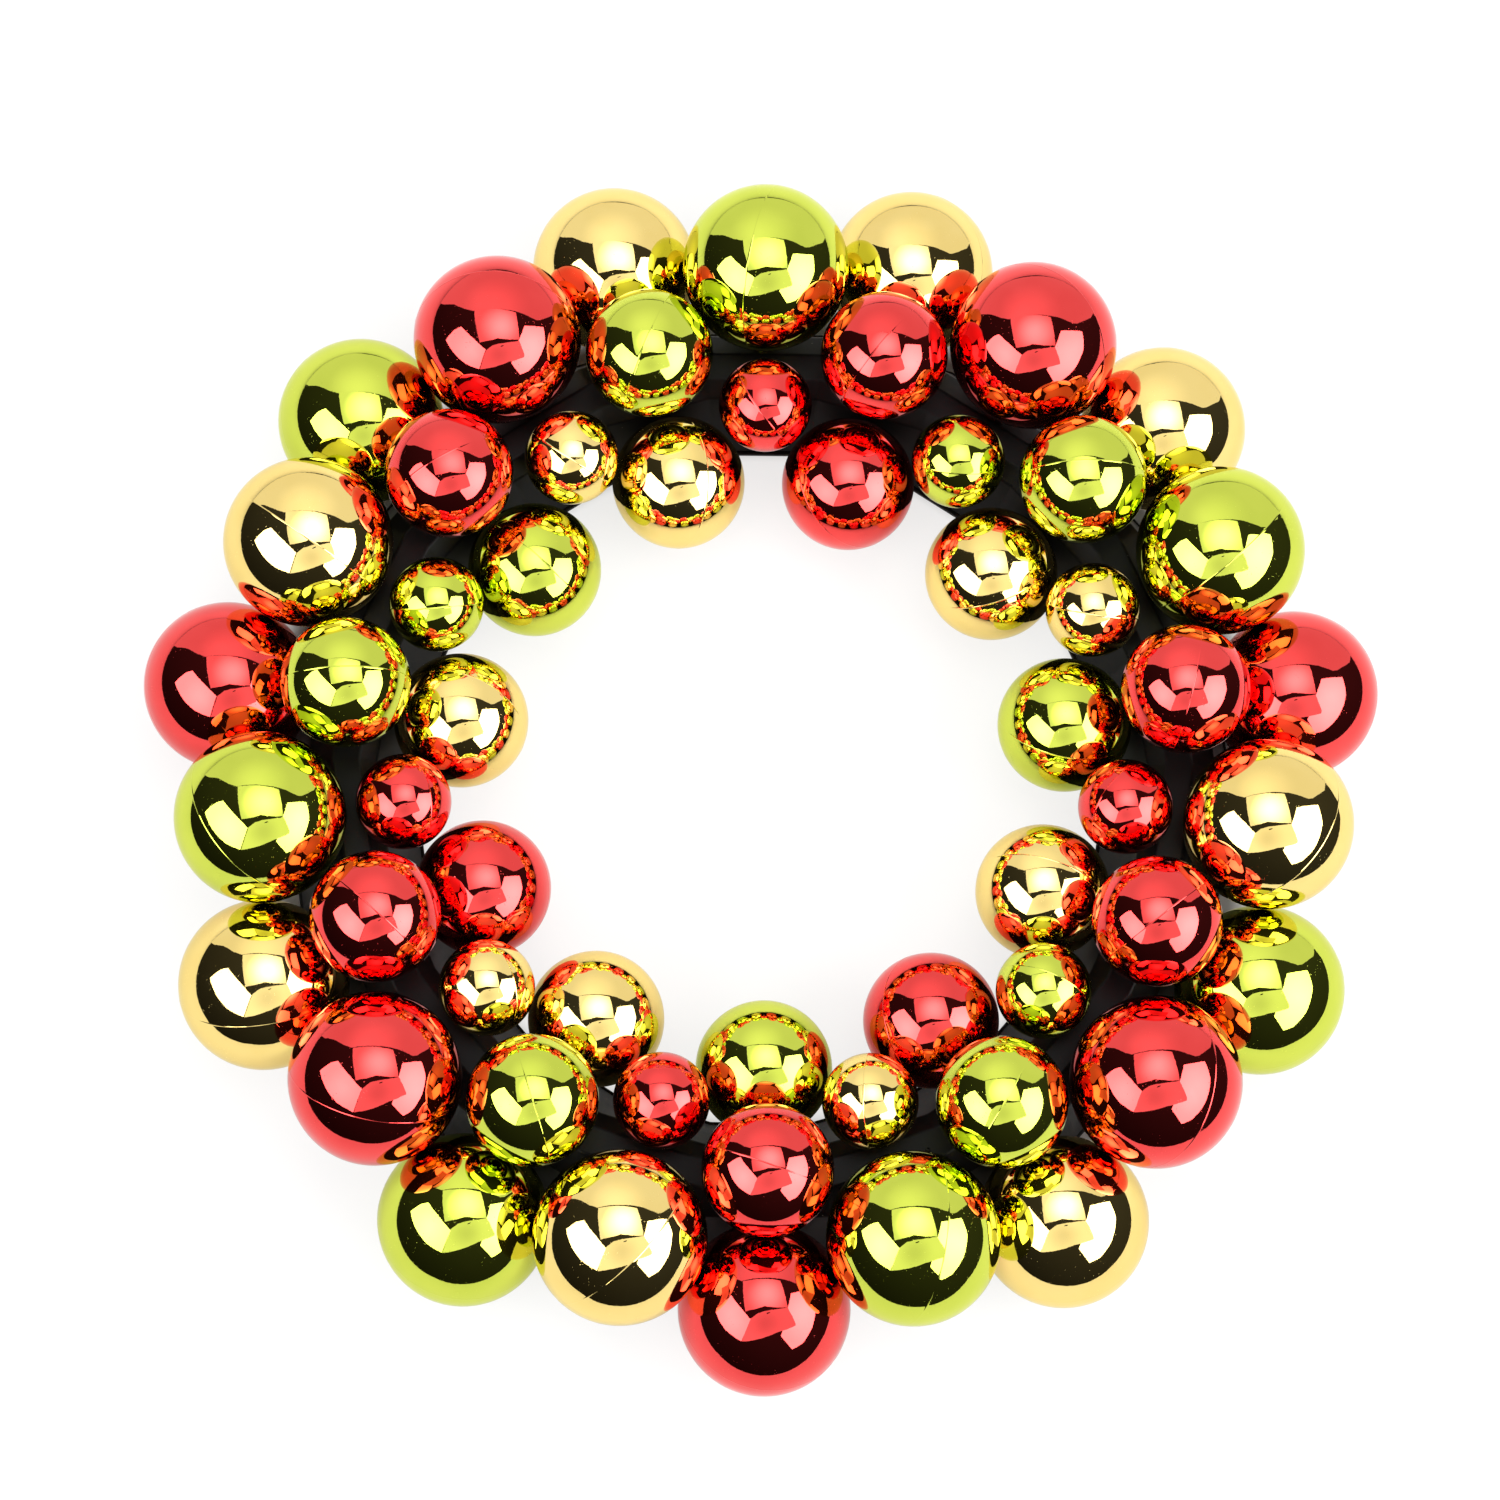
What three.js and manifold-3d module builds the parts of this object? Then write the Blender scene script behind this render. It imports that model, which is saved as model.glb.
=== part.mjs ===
// Bauble wreath: 55 hollow metallised plastic balls in five rings of eleven, each plugged by its
// neck into a faceted two-part plastic ring. Millimetres. The wreath lies on its back on the plane
// z = 0, with +Z towards the viewer of a hung wreath and +Y its top. Angles run clockwise from +Y.
import * as THREE from 'three';
import { mergeVertices } from 'three/addons/utils/BufferGeometryUtils.js';
import Module from 'manifold-3d';

const wasm = await Module();
wasm.setup();

// ---- Driving dimensions ---------------------------------------------------------------------

const BALLS_PER_RING = 11;
const RING_STEP = (2 * Math.PI) / BALLS_PER_RING;
const FRAME_SIDES = 2 * BALLS_PER_RING; // one flat side behind every ball

const FRAME_WALL = 2;
const PLATE_THICKNESS = 2;
const JOINT_GAP = 0.3; // clearance between two pieces that rest on each other
const PLATE_OVERHANG = 0.8; // the back plate's edge stands out past the shell's rims
const LOCATING_RIB = { height: 3, thickness: 1.6 };
const WELD_DISTANCE = 1e-4; // vertices closer than this are one

// Outside corners of the frame's section, [radius to the flat side, height].
const INNER_RIM = [103.6, 0];
const INNER_SHOULDER = [113.6, 27];
const TOP_INNER = [118.5, 31];
const TOP_OUTER = [126.5, 31];
const OUTER_SHOULDER = [134.2, 24.5];
const OUTER_RIM = [142.6, 0];

const NECK_BORE_RADIUS = 1.5;
const NECK_PAST_WALL = 1.2; // how far a neck reaches inside the shell
const SOCKET_CLEARANCE = 0.55; // from a neck's corners to its eight-sided hole's corners
const SOCKET_SIDES = 8;
const SOCKET_CUT_PAST = { ball: 3, neck: 2 }; // the cut starts inside the ball and ends past the neck

const KEYHOLE = { headRadius: 5, slotRadius: 2.4, rise: 9, sides: 16 };

// One entry for each size of ball: diameter, wall, neck radius, and the facets of its shell.
const LARGE = { diameter: 50, wall: 0.9, neck: 3.2, sides: 10, bands: 5 };
const MEDIUM = { diameter: 40, wall: 0.8, neck: 2.8, sides: 10, bands: 5 };
const CROWN = { diameter: 38, wall: 0.8, neck: 2.4, sides: 10, bands: 5 };
const SMALL = { diameter: 28, wall: 0.7, neck: 2, sides: 8, bands: 4 };

// One entry for each ring of balls. shift is the first ball's angle in steps, seat is where the
// neck enters the frame: the two corners of that facet, and how far along it. colours has a
// letter for each ball, clockwise: R red, L lime, G gold.
const RINGS = [
  { name: 'inner', ball: MEDIUM, radius: 91, height: 26, shift: 0.5,
    seat: [INNER_RIM, INNER_SHOULDER, 0.7], colours: 'RGLGRLGRGLG' },
  { name: 'small', ball: SMALL, radius: 107, height: 42, shift: 0,
    seat: [INNER_SHOULDER, TOP_INNER, 0.55], colours: 'RLGRLGRGRLG' },
  { name: 'crown', ball: CROWN, radius: 124, height: 54, shift: 0.5,
    seat: [TOP_INNER, TOP_OUTER, 0.62], colours: 'RLRRLRLRLRL' },
  { name: 'outer_front', ball: LARGE, radius: 148.5, height: 47, shift: 0,
    seat: [TOP_OUTER, OUTER_SHOULDER, 0.6], colours: 'LRLGRLGRLGR' },
  { name: 'outer_back', ball: LARGE, radius: 161, height: 26, shift: 0.5,
    seat: [OUTER_SHOULDER, OUTER_RIM, 0.28], colours: 'GGRLGRLGRLG' },
];

// ---- Materials ------------------------------------------------------------------------------

const BALL_MATERIALS = {
  R: new THREE.MeshStandardMaterial({ color: 0xd9353f, roughness: 0.06, metalness: 1 }),
  L: new THREE.MeshStandardMaterial({ color: 0xb5d334, roughness: 0.06, metalness: 1 }),
  G: new THREE.MeshStandardMaterial({ color: 0xf2cd7a, roughness: 0.06, metalness: 1 }),
};
const FRAME_MATERIAL = new THREE.MeshStandardMaterial({
  color: 0x1d1c1e, roughness: 0.32, metalness: 0,
});

// ---- Geometry helpers -----------------------------------------------------------------------

// A solid of revolution about +Z whose flat sides, not its corners, lie at the given radii when
// flatSides is true. One side faces +Y.
function revolve(profile, sides, flatSides) {
  const stretch = flatSides ? 1 / Math.cos(Math.PI / sides) : 1;
  const points = profile.map(([radius, height]) => new THREE.Vector2(radius * stretch, height));
  const geometry = new THREE.LatheGeometry(points, sides, Math.PI / sides);
  geometry.rotateX(Math.PI / 2);
  return geometry;
}

function toSolid(geometry, matrix = new THREE.Matrix4()) {
  const bare = geometry.clone().applyMatrix4(matrix);
  bare.deleteAttribute('normal');
  bare.deleteAttribute('uv');
  const welded = mergeVertices(bare, WELD_DISTANCE);
  return new wasm.Manifold(new wasm.Mesh({
    numProp: 3,
    vertProperties: new Float32Array(welded.attributes.position.array),
    triVerts: new Uint32Array(welded.index.array),
  }));
}

function toGeometry(solid) {
  const mesh = solid.getMesh();
  const geometry = new THREE.BufferGeometry();
  geometry.setAttribute('position', new THREE.BufferAttribute(mesh.vertProperties, 3));
  geometry.setIndex(new THREE.BufferAttribute(mesh.triVerts, 1));
  geometry.computeVertexNormals();
  return geometry;
}

function alongLine(from, to, fraction) {
  return [from[0] + (to[0] - from[0]) * fraction, from[1] + (to[1] - from[1]) * fraction];
}

function atHeight(from, to, height) {
  return alongLine(from, to, (height - from[1]) / (to[1] - from[1]));
}

// The corner where two edges of the section meet once each has moved by distance into it.
function insetCorner(before, corner, after, distance) {
  const inward = ([ax, ay], [bx, by]) => {
    const length = Math.hypot(bx - ax, by - ay);
    return [-(by - ay) / length, (bx - ax) / length];
  };
  const first = inward(before, corner);
  const second = inward(corner, after);
  const scale = distance / (1 + first[0] * second[0] + first[1] * second[1]);
  return [corner[0] + (first[0] + second[0]) * scale, corner[1] + (first[1] + second[1]) * scale];
}

// ---- Frame ----------------------------------------------------------------------------------

const SHELL_BASE = PLATE_THICKNESS + JOINT_GAP;
const INNER_FOOT = atHeight(INNER_RIM, INNER_SHOULDER, SHELL_BASE);
const OUTER_FOOT = atHeight(OUTER_RIM, OUTER_SHOULDER, SHELL_BASE);

// How much the radius of a sloping wall's hidden face differs from its outside face's.
function wallOffset(rim, shoulder) {
  const slope = (shoulder[0] - rim[0]) / (shoulder[1] - rim[1]);
  return FRAME_WALL * Math.hypot(1, slope);
}

const INNER_FOOT_HIDDEN = INNER_FOOT[0] + wallOffset(INNER_RIM, INNER_SHOULDER);
const OUTER_FOOT_HIDDEN = OUTER_FOOT[0] - wallOffset(OUTER_RIM, OUTER_SHOULDER);

// The shell's section: over the outside corners from the outer rim, then back one wall deeper.
function shellProfile() {
  const outside = [OUTER_RIM, OUTER_SHOULDER, TOP_OUTER, TOP_INNER, INNER_SHOULDER, INNER_RIM];
  const inside = outside.slice(1, -1).map((corner, i) =>
    insetCorner(outside[i], corner, outside[i + 2], FRAME_WALL));
  return [
    OUTER_FOOT, ...outside.slice(1, -1), INNER_FOOT,
    [INNER_FOOT_HIDDEN, SHELL_BASE], ...inside.reverse(), [OUTER_FOOT_HIDDEN, SHELL_BASE],
    OUTER_FOOT,
  ];
}

// The flat closing ring, with a rib standing inside each of the shell's two rims.
function plateProfile() {
  const { height, thickness } = LOCATING_RIB;
  const lean = (INNER_SHOULDER[0] - INNER_RIM[0]) / INNER_SHOULDER[1];
  const ribGap = JOINT_GAP + lean * height;
  const innerEdge = INNER_FOOT[0] - PLATE_OVERHANG;
  const outerEdge = OUTER_FOOT[0] + PLATE_OVERHANG;
  const innerRib = INNER_FOOT_HIDDEN + ribGap;
  const outerRib = OUTER_FOOT_HIDDEN - ribGap;
  const ribTop = PLATE_THICKNESS + height;
  return [
    [innerEdge, 0],
    [outerEdge, 0],
    [outerEdge, PLATE_THICKNESS],
    [outerRib, PLATE_THICKNESS],
    [outerRib, ribTop],
    [outerRib - thickness, ribTop],
    [outerRib - thickness, PLATE_THICKNESS],
    [innerRib + thickness, PLATE_THICKNESS],
    [innerRib + thickness, ribTop],
    [innerRib, ribTop],
    [innerRib, PLATE_THICKNESS],
    [innerEdge, PLATE_THICKNESS],
    [innerEdge, 0],
  ];
}

// A ball's pose in the plane of its spoke: +Y outward and +Z up, with its neck along its own -Z.
function ballPose(ring) {
  const [seatRadius, seatHeight] = alongLine(...ring.seat);
  const reach = Math.hypot(seatRadius - ring.radius, seatHeight - ring.height);
  const tilt = Math.atan2(seatRadius - ring.radius, ring.height - seatHeight);
  return { tilt, neckEnd: reach + FRAME_WALL + NECK_PAST_WALL };
}

function spokeAngle(ring, index) {
  return -(index + ring.shift) * RING_STEP;
}

function socketTool(ring, index) {
  const { tilt, neckEnd } = ballPose(ring);
  const radius = ring.ball.neck + SOCKET_CLEARANCE;
  const top = ring.ball.diameter / 2 - SOCKET_CUT_PAST.ball;
  const bottom = neckEnd + SOCKET_CUT_PAST.neck;
  const tool = new THREE.CylinderGeometry(radius, radius, bottom - top, SOCKET_SIDES);
  tool.rotateX(Math.PI / 2);
  tool.translate(0, 0, -(top + bottom) / 2);
  const matrix = new THREE.Matrix4().makeRotationZ(spokeAngle(ring, index));
  matrix.multiply(new THREE.Matrix4().makeTranslation(0, ring.radius, ring.height));
  matrix.multiply(new THREE.Matrix4().makeRotationX(tilt));
  return toSolid(tool, matrix);
}

function frameShell() {
  let solid = toSolid(revolve(shellProfile(), FRAME_SIDES, true));
  for (const ring of RINGS) {
    for (let index = 0; index < BALLS_PER_RING; index += 1) {
      solid = solid.subtract(socketTool(ring, index));
    }
  }
  const mesh = new THREE.Mesh(toGeometry(solid), FRAME_MATERIAL);
  mesh.name = 'frame_shell';
  return mesh;
}

// The keyhole's outline: most of a circle for a screw head, and a round-ended slot above it.
function keyholeShape() {
  const { headRadius, slotRadius, rise, sides } = KEYHOLE;
  const mouth = Math.asin(slotRadius / headRadius);
  const points = [];
  for (let i = 0; i <= sides; i += 1) {
    const turn = Math.PI / 2 + mouth + (i / sides) * 2 * (Math.PI - mouth);
    points.push(new THREE.Vector2(headRadius * Math.cos(turn), headRadius * Math.sin(turn)));
  }
  for (let i = 0; i <= sides / 2; i += 1) {
    const turn = (i / sides) * 2 * Math.PI;
    points.push(new THREE.Vector2(slotRadius * Math.cos(turn), rise + slotRadius * Math.sin(turn)));
  }
  return new THREE.Shape(points);
}

function backPlate() {
  const depth = 3 * PLATE_THICKNESS;
  const tool = new THREE.ExtrudeGeometry(keyholeShape(), { depth, bevelEnabled: false });
  tool.translate(0, (INNER_RIM[0] + OUTER_RIM[0] - KEYHOLE.rise) / 2, -PLATE_THICKNESS);
  const plate = toSolid(revolve(plateProfile(), FRAME_SIDES, true));
  const mesh = new THREE.Mesh(toGeometry(plate.subtract(toSolid(tool))), FRAME_MATERIAL);
  mesh.name = 'frame_back_plate';
  return mesh;
}

// ---- Balls ----------------------------------------------------------------------------------

// A thin shell with its centre at the origin and an open neck down to z = -neckEnd.
function ballGeometry(size, neckEnd) {
  const outer = size.diameter / 2;
  const inner = outer - size.wall;
  const outerMouth = Math.asin(size.neck / outer);
  const innerMouth = Math.asin(NECK_BORE_RADIUS / inner);
  const arc = (radius, mouth) => {
    const points = [];
    for (let i = 0; i <= size.bands; i += 1) {
      const turn = mouth + (i / size.bands) * (Math.PI - mouth);
      points.push([radius * Math.sin(turn), -radius * Math.cos(turn)]);
    }
    points[size.bands][0] = 0;
    return points;
  };
  const profile = [
    ...arc(inner, innerMouth).reverse(),
    [NECK_BORE_RADIUS, -neckEnd],
    [size.neck, -neckEnd],
    ...arc(outer, outerMouth),
  ];
  return revolve(profile, size.sides, false);
}

function ballRing(ring) {
  const group = new THREE.Group();
  const { tilt, neckEnd } = ballPose(ring);
  const geometry = ballGeometry(ring.ball, neckEnd);
  for (let index = 0; index < BALLS_PER_RING; index += 1) {
    const ball = new THREE.Mesh(geometry, BALL_MATERIALS[ring.colours[index]]);
    ball.name = `ball_${ring.name}_${String(index + 1).padStart(2, '0')}`;
    ball.position.set(0, ring.radius, ring.height);
    ball.rotation.x = tilt;
    const spoke = new THREE.Group();
    spoke.rotation.z = spokeAngle(ring, index);
    spoke.add(ball);
    group.add(spoke);
  }
  return group;
}

// ---- Assembly -------------------------------------------------------------------------------

const wreath = new THREE.Group();
wreath.add(frameShell(), backPlate(), ...RINGS.map(ballRing));

// Eleven balls to a ring are not symmetric about the X axis, so the ring's axis is moved until
// the origin is under the middle of the whole wreath's box.
const middle = new THREE.Box3().setFromObject(wreath, true).getCenter(new THREE.Vector3());
wreath.position.set(-middle.x, -middle.y, 0);

const part = new THREE.Group();
part.add(wreath);

export default part;
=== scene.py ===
"""Looks for the bauble wreath: smooth mirror balls with mould seams on a faceted black ring.

Everything is in metres in the CAD frame: the wreath lies on its back, +Z towards the viewer of a
hung wreath, +Y its top. Angles round the ring run clockwise from +Y.
"""
import math

import bmesh
import bpy
from mathutils import Matrix, Vector, noise


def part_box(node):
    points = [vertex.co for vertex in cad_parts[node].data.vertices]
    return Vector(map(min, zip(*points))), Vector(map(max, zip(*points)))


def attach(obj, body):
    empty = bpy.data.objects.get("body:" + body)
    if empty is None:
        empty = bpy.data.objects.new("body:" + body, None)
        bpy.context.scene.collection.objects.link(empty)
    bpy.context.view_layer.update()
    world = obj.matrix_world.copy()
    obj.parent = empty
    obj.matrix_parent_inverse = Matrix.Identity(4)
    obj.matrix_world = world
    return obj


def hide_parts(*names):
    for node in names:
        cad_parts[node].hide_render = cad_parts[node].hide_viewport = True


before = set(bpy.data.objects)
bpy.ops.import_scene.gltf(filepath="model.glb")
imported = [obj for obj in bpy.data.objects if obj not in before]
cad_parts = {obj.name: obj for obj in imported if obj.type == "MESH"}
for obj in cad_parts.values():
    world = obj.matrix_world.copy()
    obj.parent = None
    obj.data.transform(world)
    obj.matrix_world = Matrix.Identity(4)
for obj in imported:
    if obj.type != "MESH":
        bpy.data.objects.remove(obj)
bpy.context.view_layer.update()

MM = 0.001
scene = bpy.context.scene

# ---- Driving dimensions, as in the CAD model ------------------------------------------------

BALLS_PER_RING = 11
FRAME_SIDES = 2 * BALLS_PER_RING
RING_STEP = 2 * math.pi / BALLS_PER_RING

# Outside corners of the frame's section: radius to the flat side and height, in millimetres.
INNER_RIM = (103.6, 0)
INNER_SHOULDER = (113.6, 27)
TOP_INNER = (118.5, 31)
TOP_OUTER = (126.5, 31)
OUTER_SHOULDER = (134.2, 24.5)
OUTER_RIM = (142.6, 0)
FRAME_WALL = 2
PLATE_THICKNESS = 2
SHELL_BASE = 2.3
PLATE_OVERHANG = 0.8
RIB_HEIGHT = 3
RIB_THICKNESS = 1.6
KEYHOLE = {"head": 5, "slot": 2.4, "rise": 9}

# Each size of ball: radius and neck radius in millimetres, and the grid round its seam plane.
LARGE = {"radius": 25, "neck": 3.2, "columns": 128, "rows": 28}
MEDIUM = {"radius": 20, "neck": 2.8, "columns": 112, "rows": 24}
CROWN = {"radius": 19, "neck": 2.4, "columns": 112, "rows": 24}
SMALL = {"radius": 14, "neck": 2.0, "columns": 96, "rows": 20}

# Each ring: ring radius and height of the balls' centres in millimetres, the first ball's angle
# in steps, and the facet that its necks enter with how far along it. colours has a letter for
# each ball, clockwise: R red, L lime, G gold. seams has the angle of each ball's mould seam about
# its neck, in degrees from the plane of its spoke.
RINGS = {
    "inner": {
        "ball": MEDIUM, "radius": 91, "height": 26, "shift": 0.5,
        "seat": (INNER_RIM, INNER_SHOULDER, 0.7), "colours": "RGLGRLGRGLG",
        "seams": (55, 140, 135, 18, 128, 85, 95, 100, 148, 0, 154)},
    "small": {
        "ball": SMALL, "radius": 107, "height": 42, "shift": 0,
        "seat": (INNER_SHOULDER, TOP_INNER, 0.55), "colours": "RLGRLGRGRLG",
        "seams": (38, 116, 141, 62, 22, 160, 105, 75, 97, 35, 28)},
    "crown": {
        "ball": CROWN, "radius": 124, "height": 54, "shift": 0.5,
        "seat": (TOP_INNER, TOP_OUTER, 0.62), "colours": "RLRRLRLRLRL",
        "seams": (156, 140, 69, 62, 117, 71, 50, 114, 10, 70, 141)},
    "outer_front": {
        "ball": LARGE, "radius": 148.5, "height": 47, "shift": 0,
        "seat": (TOP_OUTER, OUTER_SHOULDER, 0.6), "colours": "LRLGRLGRLGR",
        "seams": (163, 75, 25, 75, 118, 151, 147, 118, 108, 167, 60)},
    "outer_back": {
        "ball": LARGE, "radius": 161, "height": 26, "shift": 0.5,
        "seat": (OUTER_SHOULDER, OUTER_RIM, 0.28), "colours": "GGRLGRLGRLG",
        "seams": (60, 100, 95, 85, 90, 80, 95, 140, 85, 100, 90)},
}

plate_low, plate_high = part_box("frame_back_plate")
RING_AXIS = Vector(((plate_low.x + plate_high.x) / 2, (plate_low.y + plate_high.y) / 2, 0))

# ---- Camera ---------------------------------------------------------------------------------

CAMERA_AZIMUTH = math.radians(-8.9)
CAMERA_ELEVATION = math.radians(77.24)
CAMERA_ROLL = math.radians(9.11)
CAMERA_DISTANCE = 1.1925
CAMERA_SHIFT_RIGHT = -0.0047
CAMERA_SHIFT_UP = 0.0038
CAMERA_LENS = 96.1
AIM_HEIGHT = 0.026


def camera_axes():
    """The camera's right, up and backward directions, and right and up before its roll."""
    east = Vector((math.cos(CAMERA_AZIMUTH), math.sin(CAMERA_AZIMUTH), 0))
    north = Vector((-east.y, east.x, 0))
    back = math.sin(CAMERA_ELEVATION) * Vector((0, 0, 1)) - math.cos(CAMERA_ELEVATION) * north
    level_up = back.cross(east)
    right = math.cos(CAMERA_ROLL) * east + math.sin(CAMERA_ROLL) * level_up
    return right, back.cross(right), back, east, level_up


VIEW_RIGHT, VIEW_UP, VIEW_BACK, LEVEL_RIGHT, LEVEL_UP = camera_axes()
AIM = RING_AXIS + Vector((0, 0, AIM_HEIGHT))


def make_camera():
    data = bpy.data.cameras.new("photo_camera")
    data.lens = CAMERA_LENS
    data.clip_end = 100
    camera = bpy.data.objects.new("photo_camera", data)
    scene.collection.objects.link(camera)
    place = AIM + VIEW_BACK * CAMERA_DISTANCE
    place += LEVEL_RIGHT * CAMERA_SHIFT_RIGHT + LEVEL_UP * CAMERA_SHIFT_UP
    turn = Matrix((VIEW_RIGHT, VIEW_UP, VIEW_BACK)).transposed().to_4x4()
    camera.matrix_world = Matrix.Translation(place) @ turn
    scene.camera = camera


# ---- Node helpers ---------------------------------------------------------------------------

class Nodes:
    """Adds and links nodes in a new material's tree."""

    def __init__(self, name):
        self.material = bpy.data.materials.new(name)
        self.material.use_nodes = True
        self.tree = self.material.node_tree
        self.shader = self.tree.nodes["Principled BSDF"]

    def feed(self, socket, value):
        if isinstance(value, bpy.types.NodeSocket):
            self.tree.links.new(value, socket)
        else:
            socket.default_value = value

    def add(self, kind, settings=None, **inputs):
        node = self.tree.nodes.new(kind)
        for key, value in (settings or {}).items():
            setattr(node, key, value)
        for key, value in inputs.items():
            self.feed(node.inputs[key.replace("_", " ")], value)
        return node

    def math(self, operation, first, second=0.0):
        node = self.add("ShaderNodeMath", {"operation": operation})
        self.feed(node.inputs[0], first)
        self.feed(node.inputs[1], second)
        return node.outputs[0]

    def ramp(self, value, start, end, low=0.0, high=1.0):
        """Maps value from start..end to low..high, and holds it there outside that range."""
        node = self.add("ShaderNodeMapRange", {"interpolation_type": "SMOOTHSTEP"}, Value=value)
        node.inputs["From Min"].default_value = start
        node.inputs["From Max"].default_value = end
        node.inputs["To Min"].default_value = low
        node.inputs["To Max"].default_value = high
        return node.outputs["Result"]

    def mix(self, factor, first, second):
        node = self.add("ShaderNodeMix", {"data_type": "RGBA"})
        self.feed(node.inputs[0], factor)
        self.feed(node.inputs[6], first)
        self.feed(node.inputs[7], second)
        return node.outputs[2]

    def noise(self, scale, detail=2.0, distortion=0.0):
        node = self.add("ShaderNodeTexNoise", Vector=self.place(), Scale=scale, Detail=detail,
                        Distortion=distortion)
        return node.outputs["Fac"]

    def specks(self, scale, size, share):
        """Scattered round specks: scale cells to a metre, the share of them that hold one."""
        cells = self.add("ShaderNodeTexVoronoi", Vector=self.place(), Scale=scale)
        spot = self.ramp(cells.outputs["Distance"], size * 0.5, size, 1.0, 0.0)
        chosen = self.ramp(cells.outputs["Color"], 1 - share, 1 - share + 0.01)
        return self.math("MULTIPLY", spot, chosen)

    def place(self):
        return self.add("ShaderNodeTexCoord").outputs["Object"]

    def bump(self, height, depth):
        """A bump of depth metres for a height that changes by 1."""
        node = self.add("ShaderNodeBump", Height=height, Strength=1.0, Distance=depth)
        self.feed(self.shader.inputs["Normal"], node.outputs["Normal"])


def rgb(red, green, blue):
    return (red, green, blue, 1)


# ---- Materials ------------------------------------------------------------------------------

DUST = rgb(0.62, 0.58, 0.54)
DUST_ON_BLACK = rgb(0.12, 0.11, 0.10)
DUST_THICKNESS = 2.0  # in bump heights of the surface under it
LACQUER_RIPPLE = 0.000007  # metres
PLASTIC_BLACK = (rgb(0.004, 0.004, 0.0045), rgb(0.007, 0.007, 0.0075))
PLASTIC_IOR = 1.46
PLASTIC_SPECULAR = 0.10  # the black moulding reflects less than clean plastic would


def mirror_material(name, body, deep, edge):
    """Tinted lacquer over vacuum-metallised plastic, with smears, rough grains and dust."""
    nodes = Nodes(name)
    dust = nodes.specks(380.0, 0.085, 0.05)
    worn = nodes.ramp(nodes.noise(110.0, 3.0), 0.42, 0.62)
    grain = nodes.math("MULTIPLY", nodes.specks(2400.0, 0.5, 0.16), worn)
    tone = nodes.mix(nodes.ramp(nodes.noise(60.0, 3.0), 0.35, 0.65), body, deep)
    nodes.feed(nodes.shader.inputs["Base Color"], nodes.mix(dust, tone, DUST))
    haze = nodes.ramp(nodes.noise(130.0, 5.0, 1.5), 0.45, 0.75, 0.015, 0.06)
    rough = nodes.math("ADD", haze, nodes.math("MULTIPLY", grain, 0.32))
    rough = nodes.math("ADD", rough, nodes.math("MULTIPLY", dust, 0.5))
    nodes.feed(nodes.shader.inputs["Roughness"], rough)
    peel = nodes.math("MULTIPLY_ADD", nodes.noise(1100.0, 1.0), 0.4)
    nodes.feed(peel.node.inputs[2], nodes.noise(330.0, 2.0))
    ripple = nodes.math("ADD", peel, nodes.math("MULTIPLY", dust, DUST_THICKNESS))
    nodes.bump(ripple, LACQUER_RIPPLE)
    nodes.shader.inputs["Metallic"].default_value = 1.0
    nodes.shader.inputs["Specular Tint"].default_value = edge
    return nodes.material


def black_plastic(name, gloss, grain_depth):
    """Moulded black plastic: soft gloss, fine grain, faint flow streaks and dust."""
    nodes = Nodes(name)
    flow = nodes.noise(38.0, 4.0, 0.8)
    dust = nodes.specks(520.0, 0.13, 0.08)
    tone = nodes.mix(nodes.ramp(flow, 0.35, 0.7), *PLASTIC_BLACK)
    nodes.feed(nodes.shader.inputs["Base Color"], nodes.mix(dust, tone, DUST_ON_BLACK))
    rough = nodes.ramp(flow, 0.3, 0.75, gloss, gloss + 0.12)
    rough = nodes.math("ADD", rough, nodes.math("MULTIPLY", dust, 0.3))
    nodes.feed(nodes.shader.inputs["Roughness"], rough)
    skin = nodes.math("ADD", nodes.noise(2400.0), nodes.math("MULTIPLY", dust, DUST_THICKNESS))
    nodes.bump(skin, grain_depth)
    nodes.shader.inputs["IOR"].default_value = PLASTIC_IOR
    nodes.shader.inputs["Specular IOR Level"].default_value = PLASTIC_SPECULAR
    return nodes.material


RED = mirror_material("red_mirror", rgb(0.92, 0.080, 0.077), rgb(0.88, 0.071, 0.068),
                      rgb(1.0, 0.98, 0.98))
LIME = mirror_material("lime_mirror", rgb(0.655, 0.74, 0.096), rgb(0.62, 0.71, 0.087),
                       rgb(1.0, 1.0, 0.75))
GOLD = mirror_material("gold_mirror", rgb(0.99, 0.755, 0.27), rgb(0.96, 0.72, 0.24),
                       rgb(1.0, 0.97, 0.78))
BALL_FINISH = {"R": ("ball_red", RED), "L": ("ball_lime", LIME), "G": ("ball_gold", GOLD)}
SHELL_PLASTIC = black_plastic("shell_plastic", 0.36, 0.000005)
PLATE_PLASTIC = black_plastic("plate_plastic", 0.44, 0.000010)


# ---- Mesh helpers ---------------------------------------------------------------------------

def add_lathe(geometry, profile, sides, place=Matrix.Identity(4), closed=False):
    """Adds a surface of revolution about place's Z axis; profile is (radius, height) in mm."""
    rings = []
    for radius, height in profile:
        if radius == 0:
            rings.append([geometry.verts.new(place @ Vector((0, 0, height * MM)))])
            continue
        ring = []
        for i in range(sides):
            turn = 2 * math.pi * i / sides
            local = Vector((radius * math.cos(turn), radius * math.sin(turn), height)) * MM
            ring.append(geometry.verts.new(place @ local))
        rings.append(ring)
    if closed:
        rings.append(rings[0])
    for low, high in zip(rings, rings[1:]):
        for i in range(sides):
            corners = [low[i % len(low)], low[(i + 1) % len(low)],
                       high[(i + 1) % len(high)], high[i % len(high)]]
            geometry.faces.new(list(dict.fromkeys(corners)))


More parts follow.
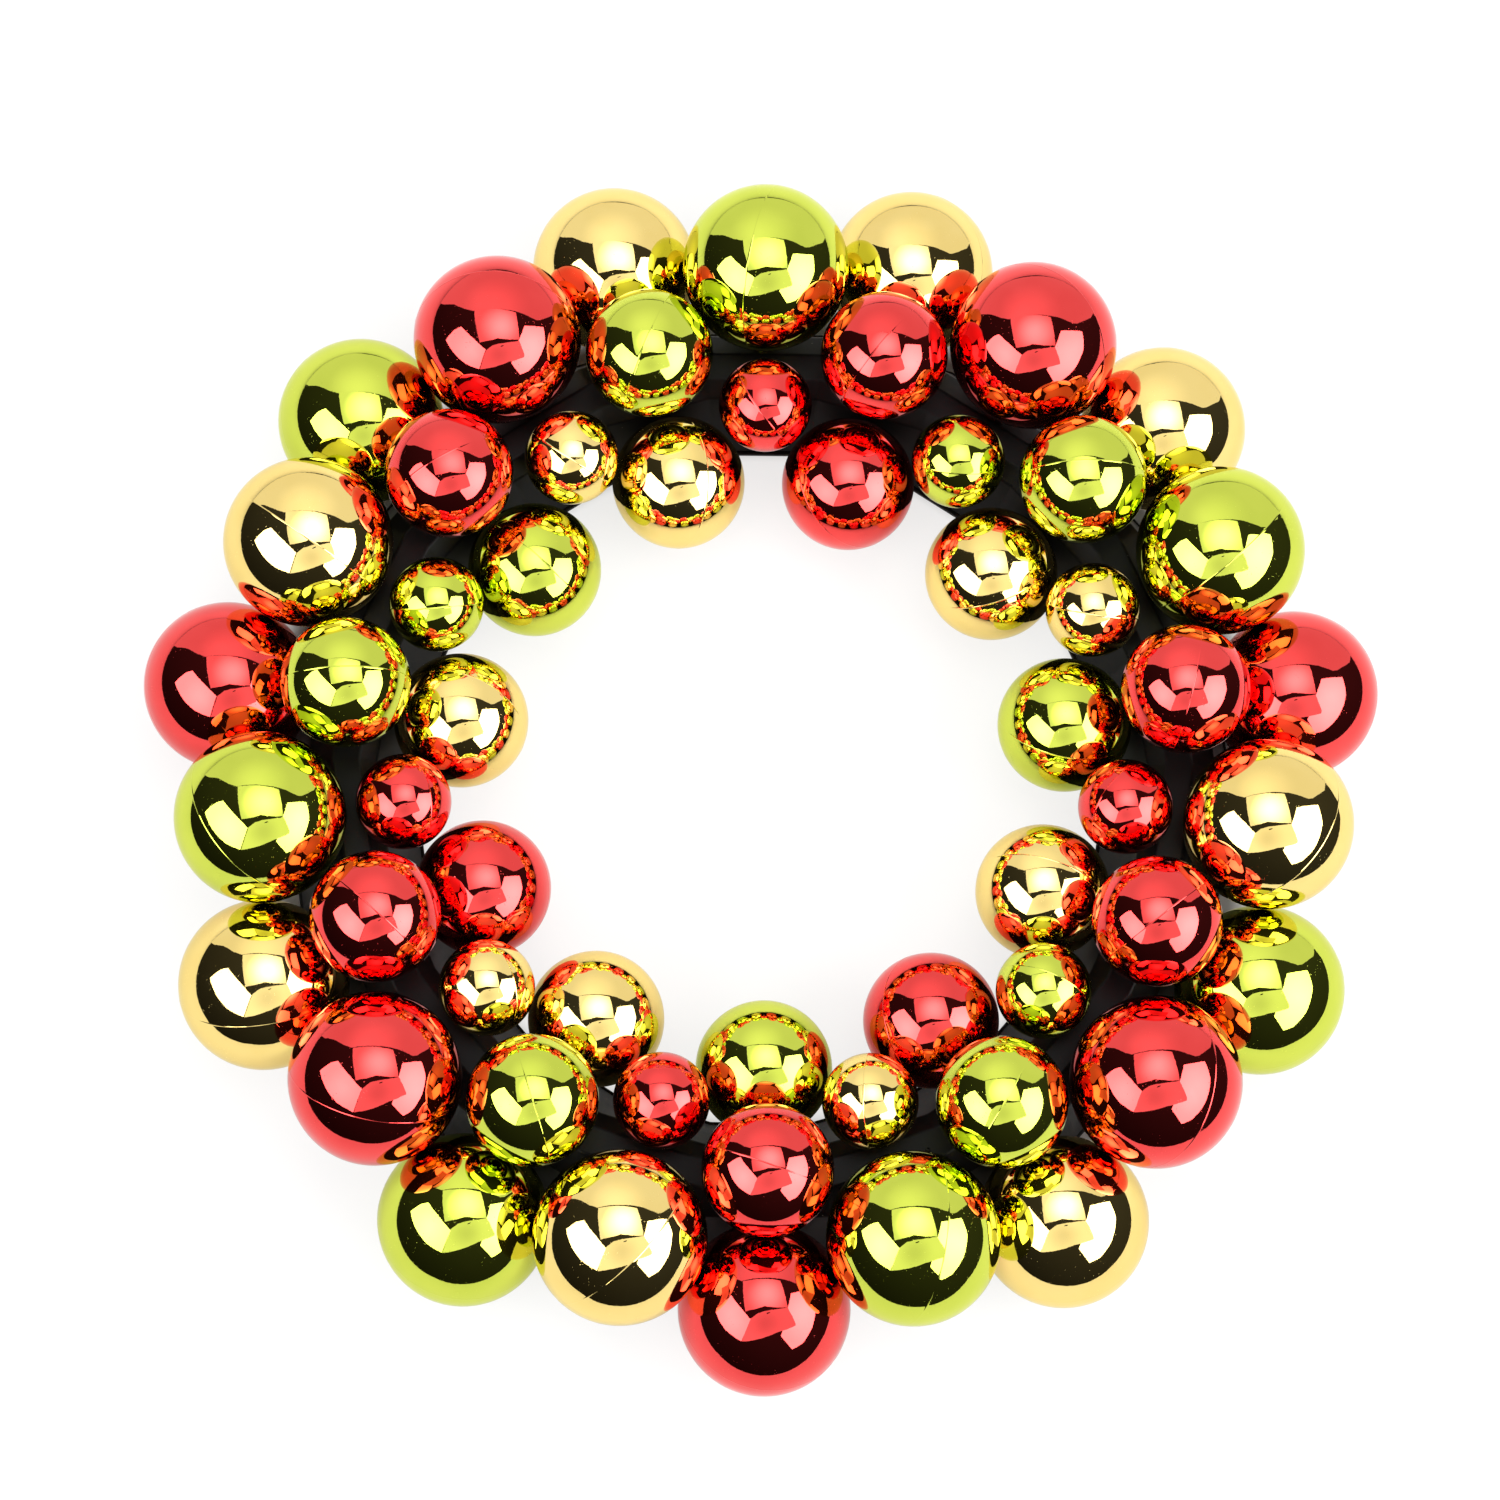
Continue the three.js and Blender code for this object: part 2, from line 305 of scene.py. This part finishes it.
def to_mesh(name, geometry):
    bmesh.ops.recalc_face_normals(geometry, faces=geometry.faces)
    mesh = bpy.data.meshes.new(name)
    geometry.to_mesh(mesh)
    geometry.free()
    mesh.shade_smooth()
    return mesh


def add_object(name, mesh, material=None):
    if material:
        mesh.materials.append(material)
    item = bpy.data.objects.new(name, mesh)
    scene.collection.objects.link(item)
    return item


def apply_modifiers(piece):
    graph = bpy.context.evaluated_depsgraph_get()
    mesh = bpy.data.meshes.new_from_object(piece.evaluated_get(graph))
    piece.modifiers.clear()
    piece.data = mesh


def seat_point(ring):
    start, end, along = ring["seat"]
    return [a + (b - a) * along for a, b in zip(start, end)]


def ball_place(ring, index):
    """The ball's own frame: its centre, with its neck along its -Z."""
    seat_radius, seat_height = seat_point(ring)
    tilt = math.atan2(seat_radius - ring["radius"], ring["height"] - seat_height)
    spoke = Matrix.Rotation(-(index + ring["shift"]) * RING_STEP, 4, "Z")
    centre = Matrix.Translation(Vector((0, ring["radius"], ring["height"])) * MM)
    return Matrix.Translation(RING_AXIS) @ spoke @ centre @ Matrix.Rotation(tilt, 4, "X")


def seat_reach(ring):
    """Distance from a ball's centre to the frame's facet along its neck, in millimetres."""
    seat_radius, seat_height = seat_point(ring)
    return math.hypot(seat_radius - ring["radius"], seat_height - ring["height"])


# ---- Balls ----------------------------------------------------------------------------------

# In millimetres. The seam's profile is (distance from its middle, share of its height).
SEAM_HEIGHT = 0.05
SEAM_PROFILE = ((0.0, 1.0), (0.06, 0.75), (0.14, 0.0), (0.35, 0.0))
WAVE_HEIGHT = 0.010
WAVE_LENGTH = 9.0
SEAM_UNEVENNESS_LENGTH = 2.2
NECK_PAST_SEAT = FRAME_WALL + 1.2
NECK_FILLET = 0.9
NECK_SIDES = 40
BALL_SEED_STEP = 7.3


def seam_rows(size):
    """Latitudes from the seam plane outwards on one side, in degrees, with the seam's rise."""
    rows = [(math.degrees(offset / size["radius"]), rise) for offset, rise in SEAM_PROFILE]
    start = rows[-1][0]
    for i in range(1, size["rows"]):
        rows.append((start + (90 - start) * i / size["rows"], 0.0))
    return rows


def ball_surface(size, seed):
    """A closed sphere whose grid runs round the seam plane, with the seam raised along it."""
    radius, columns = size["radius"], size["columns"]
    side = seam_rows(size)
    rows = [(-angle, rise) for angle, rise in reversed(side[1:])] + side
    geometry = bmesh.new()
    poles = [geometry.verts.new(Vector((sign * radius * MM, 0, 0))) for sign in (-1, 1)]
    rings = []
    for latitude, rise in rows:
        ring = []
        for i in range(columns):
            turn = 2 * math.pi * i / columns
            flat = math.cos(math.radians(latitude))
            direction = Vector((math.sin(math.radians(latitude)),
                                flat * math.cos(turn), flat * math.sin(turn)))
            wave = noise.noise(direction * radius / WAVE_LENGTH + Vector((seed, 0, 0)))
            uneven = noise.noise(direction * radius / SEAM_UNEVENNESS_LENGTH
                                 + Vector((0, seed, 0)))
            reach = radius + wave * WAVE_HEIGHT + rise * SEAM_HEIGHT * (0.8 + 0.6 * uneven)
            ring.append(geometry.verts.new(direction * reach * MM))
        rings.append(ring)
    for low, high in zip(rings, rings[1:]):
        for i in range(columns):
            j = (i + 1) % columns
            geometry.faces.new((low[i], low[j], high[j], high[i]))
    for pole, ring in ((poles[0], rings[0]), (poles[1], rings[-1])):
        for i in range(columns):
            geometry.faces.new((pole, ring[i], ring[(i + 1) % columns]))
    return geometry


def neck_profile(size, reach):
    """The moulded neck with a filleted root, from inside the ball down past the frame's wall."""
    radius, neck = size["radius"], size["neck"]
    root = math.sqrt(radius ** 2 - (neck + NECK_FILLET) ** 2)
    profile = [(0, -radius * 0.9), (neck * 0.7, -radius * 0.9)]
    for i in range(6):
        turn = math.radians(90 * i / 5)
        profile.append((neck + NECK_FILLET * (1 - math.sin(turn)),
                        -root - NECK_FILLET * (1 - math.cos(turn))))
    end = reach + NECK_PAST_SEAT
    profile += [(neck, -end + 0.3), (neck - 0.3, -end), (neck * 0.55, -end),
                (neck * 0.5, -end + 1.5), (0, -end + 1.5)]
    return profile


def make_balls():
    for number, (ring_name, ring) in enumerate(RINGS.items()):
        geometry = ball_surface(ring["ball"], BALL_SEED_STEP * number)
        add_lathe(geometry, neck_profile(ring["ball"], seat_reach(ring)), NECK_SIDES)
        master = to_mesh(f"ball_{ring_name}_mesh", geometry)
        for index in range(BALLS_PER_RING):
            slot, material = BALL_FINISH[ring["colours"][index]]
            node = f"ball_{ring_name}_{index + 1:02d}"
            mesh = master.copy()
            seam = Matrix.Rotation(math.radians(ring["seams"][index]), 4, "Z")
            mesh.transform(ball_place(ring, index) @ seam)
            ball = add_object(f"{node}_mirror", mesh, material)
            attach(ball, "root")
            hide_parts(node)


# ---- Frame ----------------------------------------------------------------------------------

# In millimetres, and degrees clockwise from +Y for the ejector mark's angle.
RIDGE_ROUNDING = 0.6
PLATE_ROUNDING = 0.35
SOCKET_CLEARANCE = 0.35
SOCKET_SIDES = 32
EJECTOR_MARK = {"radius": 0.9, "depth": 0.3, "angle": 157.6, "ring": 124.7}


def at_height(start, end, height):
    share = (height - start[1]) / (end[1] - start[1])
    return (start[0] + (end[0] - start[0]) * share, height)


INNER_FOOT = at_height(INNER_RIM, INNER_SHOULDER, SHELL_BASE)
OUTER_FOOT = at_height(OUTER_RIM, OUTER_SHOULDER, SHELL_BASE)


def wall_offset(rim, shoulder):
    """How much the radius of a sloping wall's hidden face differs from its outside face's."""
    return FRAME_WALL * math.hypot(1, (shoulder[0] - rim[0]) / (shoulder[1] - rim[1]))


INNER_FOOT_HIDDEN = INNER_FOOT[0] + wall_offset(INNER_RIM, INNER_SHOULDER)
OUTER_FOOT_HIDDEN = OUTER_FOOT[0] - wall_offset(OUTER_RIM, OUTER_SHOULDER)


def inset_corner(before, corner, after):
    """The corner where two edges of the section meet once each has moved in by the wall."""
    normals = []
    for start, end in ((before, corner), (corner, after)):
        edge = Vector(end) - Vector(start)
        normals.append(Vector((-edge.y, edge.x)).normalized())
    first, second = normals
    return tuple(Vector(corner) + (first + second) * FRAME_WALL / (1 + first.dot(second)))


def shell_profile():
    outside = [OUTER_RIM, OUTER_SHOULDER, TOP_OUTER, TOP_INNER, INNER_SHOULDER, INNER_RIM]
    corners = outside[1:-1]
    inside = [inset_corner(outside[i], corners[i], outside[i + 2]) for i in range(len(corners))]
    return [OUTER_FOOT, *corners, INNER_FOOT, (INNER_FOOT_HIDDEN, SHELL_BASE),
            *reversed(inside), (OUTER_FOOT_HIDDEN, SHELL_BASE)]


def plate_profile():
    lean = (INNER_SHOULDER[0] - INNER_RIM[0]) / INNER_SHOULDER[1]
    rib_gap = SHELL_BASE - PLATE_THICKNESS + lean * RIB_HEIGHT
    inner_edge = INNER_FOOT[0] - PLATE_OVERHANG
    outer_edge = OUTER_FOOT[0] + PLATE_OVERHANG
    inner_rib = INNER_FOOT_HIDDEN + rib_gap
    outer_rib = OUTER_FOOT_HIDDEN - rib_gap
    top = PLATE_THICKNESS + RIB_HEIGHT
    return [
        (inner_edge, 0), (outer_edge, 0), (outer_edge, PLATE_THICKNESS),
        (outer_rib, PLATE_THICKNESS), (outer_rib, top),
        (outer_rib - RIB_THICKNESS, top), (outer_rib - RIB_THICKNESS, PLATE_THICKNESS),
        (inner_rib + RIB_THICKNESS, PLATE_THICKNESS), (inner_rib + RIB_THICKNESS, top),
        (inner_rib, top), (inner_rib, PLATE_THICKNESS), (inner_edge, PLATE_THICKNESS),
    ]


def flat_sided_ring(name, profile, material, rounding):
    """A closed ring with FRAME_SIDES flat sides, one facing +Y; profile radii are to those."""
    stretch = 1 / math.cos(math.pi / FRAME_SIDES)
    turn = Matrix.Rotation(math.pi / 2 + math.pi / FRAME_SIDES, 4, "Z")
    geometry = bmesh.new()
    points = [(radius * stretch, height) for radius, height in profile]
    add_lathe(geometry, points, FRAME_SIDES, Matrix.Translation(RING_AXIS) @ turn, closed=True)
    ring = add_object(name, to_mesh(name, geometry), material)
    bevel = ring.modifiers.new("rounding", "BEVEL")
    bevel.width = rounding * MM
    bevel.segments = 3
    bevel.limit_method = "ANGLE"
    bevel.angle_limit = math.radians(5)
    return ring


def cut(piece, tool_geometry):
    """Cuts the tool out of the piece and keeps the piece's flat faces shaded flat."""
    tool = add_object("tool", to_mesh("tool", tool_geometry))
    boolean = piece.modifiers.new("cut", "BOOLEAN")
    boolean.operation = "DIFFERENCE"
    boolean.solver = "EXACT"
    boolean.use_self = True
    boolean.object = tool
    weighting = piece.modifiers.new("weighting", "WEIGHTED_NORMAL")
    weighting.keep_sharp = True
    apply_modifiers(piece)
    bpy.data.objects.remove(tool)


def add_socket(geometry, ring, index):
    reach = seat_reach(ring)
    radius = ring["ball"]["neck"] + SOCKET_CLEARANCE
    profile = [(0, -reach - 6), (radius, -reach - 6), (radius, -reach + 5), (0, -reach + 5)]
    add_lathe(geometry, profile, SOCKET_SIDES, ball_place(ring, index))


def make_shell():
    shell = flat_sided_ring("frame_shell_moulding", shell_profile(), SHELL_PLASTIC, RIDGE_ROUNDING)
    tools = bmesh.new()
    for ring in RINGS.values():
        for index in range(BALLS_PER_RING):
            add_socket(tools, ring, index)
    mark = EJECTOR_MARK
    spoke = Matrix.Rotation(-math.radians(mark["angle"]), 4, "Z")
    place = Matrix.Translation(RING_AXIS) @ spoke @ Matrix.Translation((0, mark["ring"] * MM, 0))
    bottom = TOP_OUTER[1] - mark["depth"]
    add_lathe(tools, [(0, bottom), (mark["radius"] * 0.8, bottom),
                      (mark["radius"], bottom + 1), (0, bottom + 1)], SOCKET_SIDES, place)
    cut(shell, tools)
    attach(shell, "root")
    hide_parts("frame_shell")


def keyhole_outline():
    """Points round the keyhole, in millimetres from the centre of its round head."""
    head, slot, rise = KEYHOLE["head"], KEYHOLE["slot"], KEYHOLE["rise"]
    mouth = math.asin(slot / head)
    points = []
    for i in range(41):
        turn = math.pi / 2 + mouth + i / 40 * 2 * (math.pi - mouth)
        points.append((head * math.cos(turn), head * math.sin(turn)))
    for i in range(21):
        turn = math.pi * i / 20
        points.append((slot * math.cos(turn), rise + slot * math.sin(turn)))
    return points


def make_plate():
    plate = flat_sided_ring("frame_back_plate_moulding", plate_profile(), PLATE_PLASTIC,
                            PLATE_ROUNDING)
    tool = bmesh.new()
    head_centre = (INNER_RIM[0] + OUTER_RIM[0] - KEYHOLE["rise"]) / 2
    layers = []
    for height in (-PLATE_THICKNESS, 2 * PLATE_THICKNESS):
        layers.append([tool.verts.new(RING_AXIS + Vector((x, head_centre + y, height)) * MM)
                       for x, y in keyhole_outline()])
    low, high = layers
    tool.faces.new(low)
    tool.faces.new(high)
    for i in range(len(low)):
        j = (i + 1) % len(low)
        tool.faces.new((low[i], low[j], high[j], high[i]))
    cut(plate, tool)
    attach(plate, "root")
    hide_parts("frame_back_plate")


# ---- Studio ---------------------------------------------------------------------------------

# The lights and cards round the wreath, as seen from it. Each corner and the brightest spot is
# (degrees from the view axis, degrees anticlockwise from the view's right). bright is the strength
# at that spot and dim is the strength from reach metres away.
PANELS = {
    "backdrop": {
        "corners": ((91, 145), (77, 140), (60, 136), (50, 130), (44, 110), (42, 90), (46, 63),
                    (51, 49), (56, 38), (62, 30), (68, 28), (92, 28), (102, 32), (103, 90),
                    (102, 146)),
        "distance": 1.0, "spot": (45, 100), "reach": 0.9, "bright": 1.25, "dim": 0.90},
    "overhead_softbox": {
        "corners": ((49, 128), (45, 59), (35, 40), (30, 2), (16, 5), (3, 90), (10, 180),
                    (24, 187)),
        "distance": 1.05, "spot": (20, 78), "reach": 0.64, "bright": 4.2, "dim": 1.15},
    "left_softbox": {
        "corners": ((72, 176), (60, 164), (52, 158), (30, 179), (21, 219), (49, 236), (56, 213),
                    (61, 199)),
        "distance": 1.1, "spot": (43, 198), "reach": 0.55, "bright": 5.6, "dim": 4.2},
    "right_softbox": {
        "corners": ((42, 29), (70, 19), (71, 0), (68, -25), (66, -45), (62, -57), (39, -59),
                    (30, 0)),
        "distance": 1.1, "spot": (53, -10), "reach": 0.80, "bright": 6.9, "dim": 4.7},
    "front_card": {
        "corners": ((21, 218), (10, 219), (4, 292), (18, -5), (30, 0), (46, -30), (34, -63),
                    (49, 237)),
        "distance": 0.95, "spot": (19, 275), "reach": 0.45, "bright": 0.95, "dim": 1.25},
}
# The dark room's glow: it is brightest towards that direction, and dimmest away from it. The
# spread is the cosine of the angle to it where the glow stops falling, and where it is full.
ROOM_GLOW = {"towards": (55, 50), "spread": (-0.8, 0.9), "dim": 0.012, "bright": 0.041}
# The small dark thing in front of the front card: its direction as above, metres from the
# wreath, half its width and height in millimetres, and its tilt in degrees.
LENS_SPOT = {"direction": (8.5, 308), "distance": 0.93, "size": (40, 11), "tilt": 20}

# The sheet of pale paper that the mirrors see: its corners in metres from the ring's axis. Its
# glow is a painted pool of light, brightest at its spot. The camera sees a paler floor just above
# it, without edges, whose glow is painted light.
PAPER_CORNERS = ((-0.20, -0.367), (0.35, -0.367), (0.41, -0.15), (0.47, 0.10), (0.84, 0.50),
                 (1.10, 1.00), (-1.05, 1.00), (-0.82, 0.50), (-0.59, 0.10), (-0.32, -0.21))
# Painted light on the paper: a glow, brightest at the spot, on top of the light that falls on it.
PAPER_GLOW = {"spot": (0.0, 0.25, 0), "reach": 0.90, "bright": 0.42, "dim": 0.10}
PAPER_TONE = 0.42
PAPER_DEPTH = 0.0004
FLOOR_REACH = 12.0
FLOOR_TONE = 0.2
# Painted light: the floor's glow rises from the wreath outwards so that the floor stays evenly
# pale.
FLOOR_GLOW = {"spot": (0, 0, 0), "reach": 1.30, "bright": 0.76, "dim": 0.96}
SKY_GLOW = 0.97
# Painted shadow under the wreath: ring radii, in metres, where the floor's and paper's glow fades
# out and comes back.
SHADE_INNER = (0.101, 0.112)
SHADE_OUTER = (0.146, 0.160)


def view_direction(off_axis, turn):
    off_axis, turn = math.radians(off_axis), math.radians(turn)
    return (math.sin(off_axis) * math.cos(turn) * VIEW_RIGHT
            + math.sin(off_axis) * math.sin(turn) * VIEW_UP + math.cos(off_axis) * VIEW_BACK)


def add_glow(nodes, spot, reach, bright, dim):
    """Makes a matt black surface that glows, brightest at the spot; gives back the strength."""
    distance = nodes.add("ShaderNodeVectorMath", {"operation": "DISTANCE"})
    nodes.feed(distance.inputs[0], nodes.place())
    nodes.feed(distance.inputs[1], spot)
    strength = nodes.ramp(distance.outputs["Value"], 0.0, reach, bright, dim)
    nodes.feed(nodes.shader.inputs["Base Color"], rgb(0, 0, 0))
    nodes.feed(nodes.shader.inputs["Roughness"], 1.0)
    nodes.feed(nodes.shader.inputs["Specular IOR Level"], 0.0)
    nodes.feed(nodes.shader.inputs["Emission Color"], rgb(1, 1, 1))
    nodes.feed(nodes.shader.inputs["Emission Strength"], strength)
    return strength


def make_panel(name, corners, distance, spot, reach, bright, dim):
    """A flat glowing panel that shows in reflections but not to the camera."""
    directions = [view_direction(*corner) for corner in corners]
    facing = sum(directions, Vector()).normalized()
    points = [AIM + ray * (distance / ray.dot(facing)) for ray in directions]
    mesh = bpy.data.meshes.new(name)
    mesh.from_pydata(points, [], [list(range(len(points)))])
    ray = view_direction(*spot)
    centre = AIM + ray * (distance / ray.dot(facing))
    nodes = Nodes(name)
    add_glow(nodes, centre, reach, bright, dim)
    panel = add_object(name, mesh, nodes.material)
    panel.visible_camera = False


def make_lens_spot():
    """The small dark oval that shows in the front card's reflection."""
    centre = AIM + view_direction(*LENS_SPOT["direction"]) * LENS_SPOT["distance"]
    wide, high = LENS_SPOT["size"]
    facing = Matrix((VIEW_RIGHT, VIEW_UP, VIEW_BACK)).transposed().to_4x4()
    tilt = Matrix.Rotation(math.radians(LENS_SPOT["tilt"]), 4, "Z")
    geometry = bmesh.new()
    add_lathe(geometry, [(0, 0), (1, 0)], 32,
              Matrix.Translation(centre) @ facing @ tilt @ Matrix.Diagonal((wide, high, 1, 1)))
    nodes = Nodes("lens_spot")
    nodes.shader.inputs["Base Color"].default_value = rgb(0.01, 0.01, 0.01)
    spot = add_object("lens_spot", to_mesh("lens_spot", geometry), nodes.material)
    spot.visible_camera = False


def make_sheet(name, corners, tone, glow):
    """A flat sheet on the level that the wreath lies on, glowing as painted light, with painted
    shadow under the wreath.
    """
    mesh = bpy.data.meshes.new(name)
    mesh.from_pydata([RING_AXIS + Vector((x, y, 0)) for x, y in corners], [],
                     [list(range(len(corners)))])
    nodes = Nodes(name)
    strength = add_glow(nodes, **glow)
    radius = nodes.add("ShaderNodeVectorMath", {"operation": "DISTANCE"})
    nodes.feed(radius.inputs[0], nodes.place())
    nodes.feed(radius.inputs[1], RING_AXIS)
    # Painted shadow: the glow fades out over the ring radii under the wreath.
    inside = nodes.ramp(radius.outputs["Value"], *SHADE_INNER, 1.0, 0.0)
    outside = nodes.ramp(radius.outputs["Value"], *SHADE_OUTER, 0.0, 1.0)
    outside_painted_shadow = nodes.math("MAXIMUM", inside, outside)
    nodes.feed(nodes.shader.inputs["Emission Strength"],
               nodes.math("MULTIPLY", strength, outside_painted_shadow))
    nodes.feed(nodes.shader.inputs["Base Color"], rgb(tone, tone, tone))
    sheet = add_object(name, mesh, nodes.material)
    return sheet


def make_table():
    paper = make_sheet("paper", PAPER_CORNERS, PAPER_TONE, PAPER_GLOW)
    paper.location.z = -PAPER_DEPTH
    paper.visible_camera = False
    reach = FLOOR_REACH
    edge = ((-reach, -reach), (reach, -reach), (reach, reach), (-reach, reach))
    floor = make_sheet("floor", edge, FLOOR_TONE, FLOOR_GLOW)
    floor.visible_glossy = False
    floor.visible_diffuse = False
    floor.visible_shadow = False


def make_sky():
    """A pale surround that only the camera sees."""
    geometry = bmesh.new()
    bmesh.ops.create_uvsphere(geometry, u_segments=48, v_segments=24, radius=2 * FLOOR_REACH)
    nodes = Nodes("sky")
    add_glow(nodes, (0, 0, 0), 1.0, SKY_GLOW, SKY_GLOW)
    sky = add_object("sky", to_mesh("sky", geometry), nodes.material)
    sky.visible_diffuse = False
    sky.visible_glossy = False
    sky.visible_shadow = False


def make_room():
    world = bpy.data.worlds.new("room")
    scene.world = world
    world.use_nodes = True
    nodes = world.node_tree.nodes
    direction = nodes.new("ShaderNodeTexCoord")
    facing = nodes.new("ShaderNodeVectorMath")
    facing.operation = "DOT_PRODUCT"
    facing.inputs[1].default_value = view_direction(*ROOM_GLOW["towards"])
    strength = nodes.new("ShaderNodeMapRange")
    strength.inputs["From Min"].default_value = ROOM_GLOW["spread"][0]
    strength.inputs["From Max"].default_value = ROOM_GLOW["spread"][1]
    strength.inputs["To Min"].default_value = ROOM_GLOW["dim"]
    strength.inputs["To Max"].default_value = ROOM_GLOW["bright"]
    links = world.node_tree.links
    links.new(direction.outputs["Generated"], facing.inputs[0])
    links.new(facing.outputs["Value"], strength.inputs["Value"])
    background = nodes["Background"]
    background.inputs["Color"].default_value = rgb(1, 1, 1)
    links.new(strength.outputs["Result"], background.inputs["Strength"])


def make_studio():
    for name, panel in PANELS.items():
        make_panel(name, **panel)
    make_lens_spot()
    make_table()
    make_sky()
    make_room()
    scene.view_settings.view_transform = "Standard"


make_camera()
make_balls()
make_shell()
make_plate()
make_studio()
